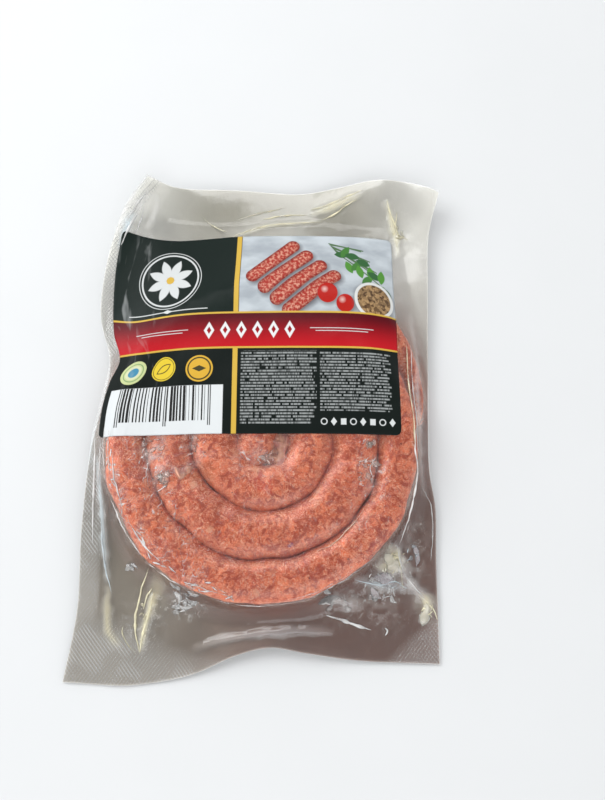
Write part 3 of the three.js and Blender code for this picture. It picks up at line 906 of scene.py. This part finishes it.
def make_strand(name, points, half_width, height, base, sides=8, spacing=0.7, limp=0.25):
    """A low rounded ridge: a ball stretched along points, which lies on the surface that base gives."""
    at = smooth_line(points)
    path = at(np.linspace(0, 1, 200))
    length = np.linalg.norm(np.diff(path, axis=0), axis=1).sum()
    rings = max(int(length / spacing), 6)
    clear_selection()
    bpy.ops.mesh.primitive_uv_sphere_add(segments=sides, ring_count=rings, radius=1, location=(0, 0, 0))
    piece = bpy.context.object
    piece.name = piece.data.name = name
    ball = corners_of(piece)
    share = np.arccos(np.clip(ball[:, 2], -1, 1)) / np.pi
    around = np.arctan2(ball[:, 1], ball[:, 0])
    middle = at(share)[:, :2]
    ahead = at(np.minimum(share + 0.01, 1))[:, :2] - at(np.maximum(share - 0.01, 0))[:, :2]
    ahead /= np.linalg.norm(ahead, axis=1)[:, None]
    waver = limp * grain(flat_points(*middle.T, 7.0), 3.2)
    middle = middle + np.stack([ahead[:, 1], -ahead[:, 0]], axis=1) * waver[:, None]
    thick = np.clip(np.sin(np.pi * share), 0, 1) ** 0.7
    thick *= 1 + 2 * limp * grain(flat_points(*middle.T, 21.0), 2.6)
    side = np.cos(around) * half_width * thick
    x, y = middle[:, 0] + ahead[:, 1] * side, middle[:, 1] - ahead[:, 0] * side
    up = np.sin(around) * thick * height
    z = base(x, y) + np.where(up > 0, up, up * 0.3)
    move_corners(piece, np.stack([x, y, z], axis=1))
    return piece


def join_pieces(name, pieces):
    clear_selection()
    for piece in pieces:
        piece.select_set(True)
    bpy.context.view_layer.objects.active = pieces[0]
    bpy.ops.object.join()
    pieces[0].name = pieces[0].data.name = name
    return pieces[0]


meat = meat_look()
inner_link = make_link("inner_link", INNER_TURN, TWIST_TURN + 0.004, (11, 4.5), 500)
outer_link = make_link("outer_link", TWIST_TURN - 0.004, OUTER_TURN, (4.5, 5), 780)
for link in (inner_link, outer_link):
    finish_piece(link, meat)


def lying_at(height):
    return lambda x, y: np.full(x.shape, height)


# Casing that is gathered between the links and at the inner end, and lies flat under the film.
twist_gather = make_strand(
    "twist_gather", [(-59, -37.5), (-47, -34), (-30, -25)], 4.4, 7.2, lying_at(13.4), 40, 0.4
)
twist_knot = make_strand(
    "twist_knot", [(-46, -36.5), (-40, -32), (-34, -28)], 3.0, 1.9, lying_at(20.0), 24, 0.35
)
end_gather = make_strand(
    "end_gather", [(9, -1), (10, -12), (8, -21), (5, -31)], 9.0, 6.6, lying_at(11.4), 56, 0.4
)
end_tail = make_strand(
    "end_tail", [(10.5, -5), (11.5, -16), (11.3, -23), (9.5, -29.5)], 3.6, 1.6, lying_at(17.7), 28, 0.3
)
casing = casing_look()
for piece in (twist_gather, twist_knot, end_gather, end_tail):
    finish_piece(piece, casing)
SAUSAGE_PIECES = (inner_link, outer_link, twist_gather, twist_knot, end_gather, end_tail)


# How the films lie
STEP = 0.8
REACH = (102.0, 140.0)
ROUNDS = 260
FRONT_PULL, LABEL_PULL, BACK_PULL = 0.11, 0.006, 0.16
NO_SAUSAGE = 1e3


def sausage_heights(x, y, from_above):
    """The sausage's top or underside over points of the table, and far away where there is none."""
    side = 1 if from_above else -1
    heights = np.full(x.shape, -NO_SAUSAGE * side)
    for link in SAUSAGE_PIECES:
        faces = [face.vertices for face in link.data.polygons]
        tree = BVHTree.FromPolygons([v.co for v in link.data.vertices], faces)
        for i, (px, py) in enumerate(zip(x.ravel() * MM, y.ravel() * MM)):
            hit = tree.ray_cast((px, py, 0.05 * side), (0, 0, -side))[0]
            if hit:
                best = heights.flat[i] * side
                heights.flat[i] = max(best, hit.z / MM * side) * side
    return heights


def drawn_tight(rest, pull, step, rounds):
    """A skin drawn down by pull onto what it rests on, relaxed on ever finer grids."""
    if min(rest.shape) > 60:
        coarse = drawn_tight(rest[::2, ::2], pull[::2, ::2], step * 2, rounds * 2)
        rows = np.linspace(0, coarse.shape[0] - 1, rest.shape[0])
        columns = np.linspace(0, coarse.shape[1] - 1, rest.shape[1])
        skin = np.maximum(sampled(coarse, rows[:, None], columns[None, :]), rest)
    else:
        skin = rest.copy()
    for _ in range(rounds):
        around = skin[:-2, 1:-1] + skin[2:, 1:-1] + skin[1:-1, :-2] + skin[1:-1, 2:]
        eased = around / 4 - pull[1:-1, 1:-1] * step**2 / 4
        skin[1:-1, 1:-1] = np.maximum(eased, rest[1:-1, 1:-1])
    return skin


def sampled(field, row, column):
    """field between its grid points."""
    row = np.clip(row, 0, field.shape[0] - 1.001)
    column = np.clip(column, 0, field.shape[1] - 1.001)
    i, j = row.astype(int), column.astype(int)
    s, t = row - i, column - j
    low = mix(field[i, j], field[i, j + 1], t)
    high = mix(field[i + 1, j], field[i + 1, j + 1], t)
    return mix(low, high, s)


grid_x, grid_y = np.meshgrid(np.arange(-REACH[0], REACH[0], STEP), np.arange(-REACH[1], REACH[1], STEP))
flange = flange_under(grid_x, grid_y)
outside = outside_coil(grid_x, grid_y)
sausage_top = sausage_heights(grid_x, grid_y, True)
sausage_base = sausage_heights(grid_x, grid_y, False)


def blurred(field, reach):
    """field smoothed over a reach in millimetres."""
    cells = int(2.5 * reach / STEP)
    offsets = np.arange(-cells, cells + 1)
    weights = np.exp(-((offsets * STEP / reach) ** 2) / 2)
    weights /= weights.sum()
    for axis in (0, 1):
        padded = np.pad(field, [(cells, cells) if a == axis else (0, 0) for a in (0, 1)], mode="edge")
        length = field.shape[axis]
        field = sum(w * np.take(padded, range(i, i + length), axis=axis) for i, w in enumerate(weights))
    return field


covered = under_label(grid_x, grid_y, 5.0)
pull = mix(np.full(grid_x.shape, FRONT_PULL), LABEL_PULL, under_label(grid_x, grid_y, 12.0))
front_rest = np.maximum(sausage_top + 0.12, flange + FILM_GAP)
front_height = drawn_tight(front_rest, pull, STEP, ROUNDS)
label_height = blurred(front_height, 3.2) + 0.35
label_height = blurred(np.maximum(label_height, front_height + 0.2), 1.2) + 0.1
front_height = mix(front_height, np.maximum(label_height - 0.25, front_height), covered)
back_pull = np.full(grid_x.shape, BACK_PULL)
back_rest = np.maximum(-(sausage_base - 0.1), -(flange - FILM_GAP))
back_height = np.clip(-drawn_tight(back_rest, back_pull, STEP, ROUNDS), 0.05, None)


def over_table(field, x, y):
    return sampled(field, (y + REACH[1]) / STEP, (x + REACH[0]) / STEP)


def from_path(x, y, points):
    """Distance of each point of the table from a bent line, and the share of the line that is nearest."""
    path = smooth_line(points, 60)(np.linspace(0, 1, 30))
    best = np.full(x.shape, FAR)
    share = np.zeros(x.shape)
    for i, (a, b) in enumerate(zip(path[:-1], path[1:])):
        along = b - a
        t = np.clip(((x - a[0]) * along[0] + (y - a[1]) * along[1]) / (along @ along), 0, 1)
        away = np.hypot(x - a[0] - t * along[0], y - a[1] - t * along[1])
        nearer = away < best
        best[nearer] = away[nearer]
        share[nearer] = ((i + t) / (len(path) - 1))[nearer]
    return best, share


# Soft folds: raised film, with milky white as painted highlights in the folds' tints.
fold_rise = np.zeros(grid_x.shape)
fold_sheen = np.zeros(grid_x.shape)
fold_tint = np.tile(np.array([0.80, 0.80, 0.77]), (*grid_x.shape, 1))
for points, half_width, rise, milk_and_sheen, tint in SOFT_FOLDS:
    away, share = from_path(grid_x, grid_y, points)
    uneven = 1 + 0.5 * grain(flat_points(grid_x, grid_y, 3.0), 4.0)
    bulge = np.exp(-((away / (half_width * uneven)) ** 2)) * np.sqrt(np.clip(np.sin(np.pi * share), 0, 1))
    fold_rise += rise * bulge
    fold_sheen += milk_and_sheen * bulge
    fold_tint = mix(fold_tint, np.array(tint), bulge[..., None])
waves = 0.35 * grain(flat_points(grid_x, grid_y / 2), 14.0) * ease(outside, 2, 12) * (1 - covered)
front_height = front_height + (fold_rise + waves) * (1 - covered)


# The films
def tint_at(x, y):
    """The back film's tint: light grey at the top, darker and browner towards the lower right."""
    down = ease(-y, -105, 45)[:, None]
    rightward = ease(x, -75, 30)[:, None]
    at_corner = ease(np.abs(x - 5), 30, 85)[:, None]
    corner = mix(np.array([1.0, 1.0, 0.93]), np.array([0.78, 0.77, 0.71]), ease(x, -20, 30)[:, None])
    light = mix(np.array([0.47, 0.45, 0.37]), corner, at_corner)
    dark = mix(np.array([0.31, 0.27, 0.215]), np.array([0.17, 0.080, 0.058]), rightward)
    light = light * (1 - 0.3 * ease(x, -72, -86) * ease(y, 96, 70))[:, None]
    dark = dark * (1 - 0.3 * ease(x, -70, -82) * ease(y, -95, -60))[:, None]
    cloudy = 1 + 0.12 * grain(flat_points(x, y, 50.0), 11.0)[:, None]
    return mix(light, dark, down) * cloudy


def make_film(name, across, along, heights):
    piece, u, v = add_grid(name, across, along)
    place = flange_at(u, v)
    place[:, 2] = over_table(heights, place[:, 0], place[:, 1])
    cut = np.minimum(np.minimum(u, 1 - u) * POUCH_WIDTH, np.minimum(v, 1 - v) * POUCH_LENGTH)
    return piece, u, v, place, cut


def write_film(piece, haze_and_sheen, milk_and_sheen, emboss=None, cling=None, crinkle=None):
    nothing = np.zeros(len(haze_and_sheen))
    write_value(piece, "haze_and_sheen", np.clip(haze_and_sheen, 0, 1))
    write_value(piece, "emboss", nothing if emboss is None else emboss)
    write_value(piece, "cling", nothing if cling is None else cling)
    write_value(piece, "crinkle", nothing if crinkle is None else crinkle)
    write_color(piece, "milk_and_sheen", milk_and_sheen)


film = film_look()
front_film, u, v, place, cut = make_film("front_film", 250, 345, front_height)
gap = over_table(outside, place[:, 0], place[:, 1])
side_weld = ease(u, 0.065, 0.045)
corner_weld = ease(v * 1.4 + u * 0.5, 0.24, 0.15)
right_corner_weld = ease(v * 1.4 + (1 - u), 0.16, 0.1) * 0.6
weld = np.maximum(np.maximum(side_weld, corner_weld), right_corner_weld)
cling = ease(gap, 1.0, -1.0)
# Milky white and its tint: painted highlights along the folds, and real whitening at the welds and the cut
# edges.
milk_and_sheen = np.stack([over_table(fold_tint[..., k], place[:, 0], place[:, 1]) for k in range(3)], axis=1)
haze_and_sheen = mix(0.018, 0.006, cling) + over_table(fold_sheen, place[:, 0], place[:, 1])
haze_and_sheen += 0.12 * weld + 0.30 * ease(cut, 0.9, 0.2)
# Painted highlight: a patchy pale beige line where the film leaves the coil's rim.
far_out = over_table(blurred(outside, 2.5), place[:, 0], place[:, 1])
patchy = 0.55 + 0.75 * grain(place, 9.0)
rim = np.exp(-(((gap - 0.7) / 0.9) ** 2)) * ease(far_out, -1.2, 0.0)
haze_and_sheen += 0.26 * rim * np.clip(patchy, 0.1, 1)
milk_and_sheen = mix(milk_and_sheen, np.array([0.80, 0.62, 0.50]), (0.8 * rim)[:, None])
# Crinkled spots: finer bumps, painted glints and a patchy pinkish painted sheen over the meat; the outer
# turn's left shoulder gets crinkles, and so painted glints, too.
crinkle = 0.15 * cling
for x, y, reach, strength, crinkle_sheen in CRINKLED:
    spot = np.exp(-((np.hypot(place[:, 0] - x, place[:, 1] - y) / reach) ** 2))
    crinkle += strength * spot
    haze_and_sheen += crinkle_sheen * spot * np.clip(0.6 + 1.3 * grain(place, 2.6), 0, 1.4)
    milk_and_sheen = mix(milk_and_sheen, np.array([0.82, 0.70, 0.67]), (0.6 * spot * cling)[:, None])
shoulder = np.exp(-(((gap + 3.5) / 2.6) ** 2)) * ease(-place[:, 0], 22, 55) * ease(-place[:, 1], -5, 20)
crinkle = np.clip(crinkle + shoulder, 0, 1)
move_corners(front_film, place)
write_film(front_film, haze_and_sheen, milk_and_sheen, weld, cling, crinkle)
finish_piece(front_film, film, ["pouch"])

back_film, u, v, place, cut = make_film("back_film", 160, 220, back_height)
gap = over_table(outside, place[:, 0], place[:, 1])
move_corners(back_film, place)
write_film(back_film, mix(0.2, 0.93, ease(gap, -1, 3)), tint_at(place[:, 0], place[:, 1]))
clear_selection()
back_film.data.flip_normals()
finish_piece(back_film, film)


def on_film(x, y):
    return over_table(front_height, x, y) + 0.02


def make_folds():
    """Sharp creases, the rim where the front film leaves the sausage, and its gathers and crumples: low
    ridges whose milky white is painted highlight.
    """
    strands = []

    def add(points, half_width, height, haze_and_sheen, tint, limp=0.25):
        strand = make_strand("fold", points, half_width, height, on_film, limp=limp)
        middle = corners_of(strand) / MM
        fading = np.clip(0.75 + 0.5 * grain(middle, 5.0), 0.15, 1)
        write_film(strand, haze_and_sheen * fading, np.tile(tint, (len(middle), 1)))
        strands.append(strand)

    def round_coil(first, last, out, waver, count=9):
        """Points along the outermost turn, so far out from its middle line."""
        turns = np.linspace(first, last, count)
        angle = START_ANGLE - 2 * np.pi * turns
        pressed = np.interp(turns, *zip(*PRESSED_IN))
        radius = PITCH * turns - pressed + out + waver * grain(flat_points(turns * 200, turns), 9.0)
        around = np.stack([np.cos(angle), np.sin(angle)], axis=1)
        return COIL_MIDDLE + radius[:, None] * around

    for fold in SHARP_FOLDS:
        add(*fold)
    # Painted highlights: broken white lines along the outer turn's rim, and short white gathers on its
    # shoulder.
    edge = PITCH / 2 + 1.0
    for first, last, out, half_width, haze_and_sheen in (
        (2.915, 3.0, edge - 0.4, 0.25, 0.4), (2.95, 3.02, edge - 1.6, 0.25, 0.4),
        (3.03, 3.09, edge, 0.25, 0.5), (3.12, 3.16, edge, 0.4, 0.85), (3.165, 3.23, edge, 0.5, 0.9),
        (3.235, 3.30, edge, 0.3, 0.55), (3.15, 3.21, 7.5, 0.35, 0.8), (3.215, 3.27, 7.0, 0.3, 0.65),
        (3.07, 3.12, 9.0, 0.3, 0.5), (3.25, 3.30, 9.5, 0.35, 0.6),
    ):
        add(round_coil(first, last, out, 0.6), half_width, 0.6, haze_and_sheen, WHITE, 0.5)
    chance = np.random.RandomState(11)
    for turn in np.sort(chance.uniform(3.07, 3.30, 26)):
        out = chance.uniform(4.5, 10.0)
        reach = chance.uniform(-0.012, 0.012)
        size = chance.uniform(0.8, 2.6)
        points = round_coil(turn, turn + reach, out, 0.0, 3)
        points = points + (points - COIL_MIDDLE) * np.linspace(0, size / 88, 3)[:, None]
        add(points, chance.uniform(0.2, 0.5), 0.4, chance.uniform(0.45, 0.85), WHITE)
    for x, y, reach, count, tint in CRUMPLES:
        for _ in range(count):
            middle = np.array([x, y]) + reach * chance.uniform(-0.8, 0.8, 2)
            way = chance.uniform(0, math.pi)
            step = np.array([math.cos(way), math.sin(way)]) * chance.uniform(0.8, 2.6)
            bend = np.array([-step[1], step[0]]) * chance.uniform(-0.4, 0.4)
            broad = chance.uniform() < 0.45
            half_width = chance.uniform(0.7, 1.5) if broad else chance.uniform(0.18, 0.35)
            haze_and_sheen = chance.uniform(0.12, 0.3) if broad else chance.uniform(0.4, 0.85)
            haze_and_sheen *= 0.65 if tint == PINK else 1
            add([middle - step, middle + bend, middle + step], half_width, 0.5, haze_and_sheen, tint)
    return join_pieces("film_folds", strands)


finish_piece(make_folds(), film)


# The label
# How far the label is drawn up, or down below zero, by the share across and the share up.
DIP_ACROSS = (0, 0.08, 0.2, 0.3, 0.44, 0.85, 1)
DIPS = (
    (0.0, (-1.5, -1.2, -0.8, -0.2, 0.0, -0.2, -1.0)),
    (0.4, (-4.2, -3.6, -1.8, -0.6, 0.0, 0.0, -1.2)),
    (0.6, (-3.2, -4.4, -2.2, -0.8, 0.0, 0.0, -2.0)),
    (1.0, (1.4, -0.8, -1.4, 0.2, 2.6, 2.4, 0.8)),
)


def make_label():
    piece, u, v = add_grid("front_label", 210, 152)
    x = u * LABEL_SIZE[0]
    y = v * LABEL_SIZE[1]
    beyond_x, beyond_y = (
        np.clip(np.abs(place - size / 2) - (size / 2 - LABEL_CORNER), 0, None) / LABEL_CORNER
        for place, size in zip((x, y), LABEL_SIZE)
    )
    x -= np.sign(u - 0.5) * LABEL_CORNER * beyond_x * (1 - np.sqrt(1 - beyond_y**2 / 2))
    y -= np.sign(v - 0.5) * LABEL_CORNER * beyond_y * (1 - np.sqrt(1 - beyond_x**2 / 2))
    places = [share * LABEL_SIZE[0] for share in DIP_ACROSS]
    curves = [smooth_line(list(zip(places, dips)))(np.linspace(0, 1, 200)) for _, dips in DIPS]
    rows = np.stack([np.interp(u * LABEL_SIZE[0], curve[:, 0], curve[:, 1]) for curve in curves])
    heights = [height for height, _ in DIPS]
    y += np.array([np.interp(share, heights, column) for share, column in zip(v, rows.T)])
    straight = LABEL_RIGHT + COIL_MIDDLE[0] - LABEL_SIZE[0]
    x += straight
    y += LABEL_BOTTOM + COIL_MIDDLE[1]
    x += (label_left(y) - straight) * (1 - ease(u, 0, 0.3))
    move_corners(piece, np.stack([x, y, over_table(label_height, x, y)], axis=1))
    clear_selection()
    piece.select_set(True)
    bpy.context.view_layer.objects.active = piece
    solidify = piece.modifiers.new("paper", "SOLIDIFY")
    solidify.thickness = LABEL_THICKNESS * MM
    solidify.offset = -1
    bpy.ops.object.modifier_apply(modifier="paper")
    return piece


front_label = make_label()
finish_piece(front_label, label_look(), ["label"])


# Stage, light and camera
clear_selection()
bpy.ops.mesh.primitive_plane_add(size=6, location=(0, 0, -0.0002))
floor = bpy.context.object
floor.name = "floor"
floor.data.materials.append(floor_look())


def add_lamp(name, place, target, size, power, color=(1, 1, 1)):
    lamp = bpy.data.lights.new(name, "AREA")
    lamp.shape, lamp.size, lamp.size_y, lamp.energy, lamp.color = "RECTANGLE", size[0], size[1], power, color
    holder = bpy.data.objects.new(name, lamp)
    bpy.context.scene.collection.objects.link(holder)
    holder.location = place
    direction = holder.location.copy()
    direction.x, direction.y, direction.z = (t - p for t, p in zip(target, place))
    holder.rotation_euler = direction.to_track_quat("-Z", "Y").to_euler()


add_lamp("window", (-0.9, 0.5, 0.9), (0, 0, 0), (0.9, 0.7), 10.5, (0.97, 0.99, 1.0))
add_lamp("ceiling", (-0.1, 0.75, 1.2), (0, 0, 0), (0.9, 0.5), 5.0)
add_lamp("front", (0.15, -0.85, 1.0), (0, 0, 0), (0.9, 0.6), 4.5)

# The room is lighter near the horizon than straight above, so that folds stand out on the film.
world = bpy.data.worlds.new("studio")
world.use_nodes = True
room = world.node_tree.nodes
way = room.new("ShaderNodeTexCoord")
upward = room.new("ShaderNodeSeparateXYZ")
brightness = room.new("ShaderNodeMapRange")
brightness.interpolation_type = "SMOOTHSTEP"
for socket, value in (("From Min", 0.45), ("From Max", 0.97), ("To Min", 1.12), ("To Max", 0.41)):
    brightness.inputs[socket].default_value = value
world.node_tree.links.new(way.outputs["Generated"], upward.inputs[0])
world.node_tree.links.new(upward.outputs[2], brightness.inputs["Value"])
world.node_tree.links.new(brightness.outputs[0], room["Background"].inputs["Color"])
bpy.context.scene.world = world
bpy.context.scene.view_settings.view_transform = "Standard"

camera_data = bpy.data.cameras.new("camera")
camera_data.lens = CAMERA_LENS
camera_data.sensor_width = 36
camera_data.clip_start = 0.01
camera = bpy.data.objects.new("camera", camera_data)
camera.location = [c * MM for c in CAMERA_PLACE]
camera.rotation_euler = (CAMERA_TILT, 0, 0)
bpy.context.scene.collection.objects.link(camera)
bpy.context.scene.camera = camera
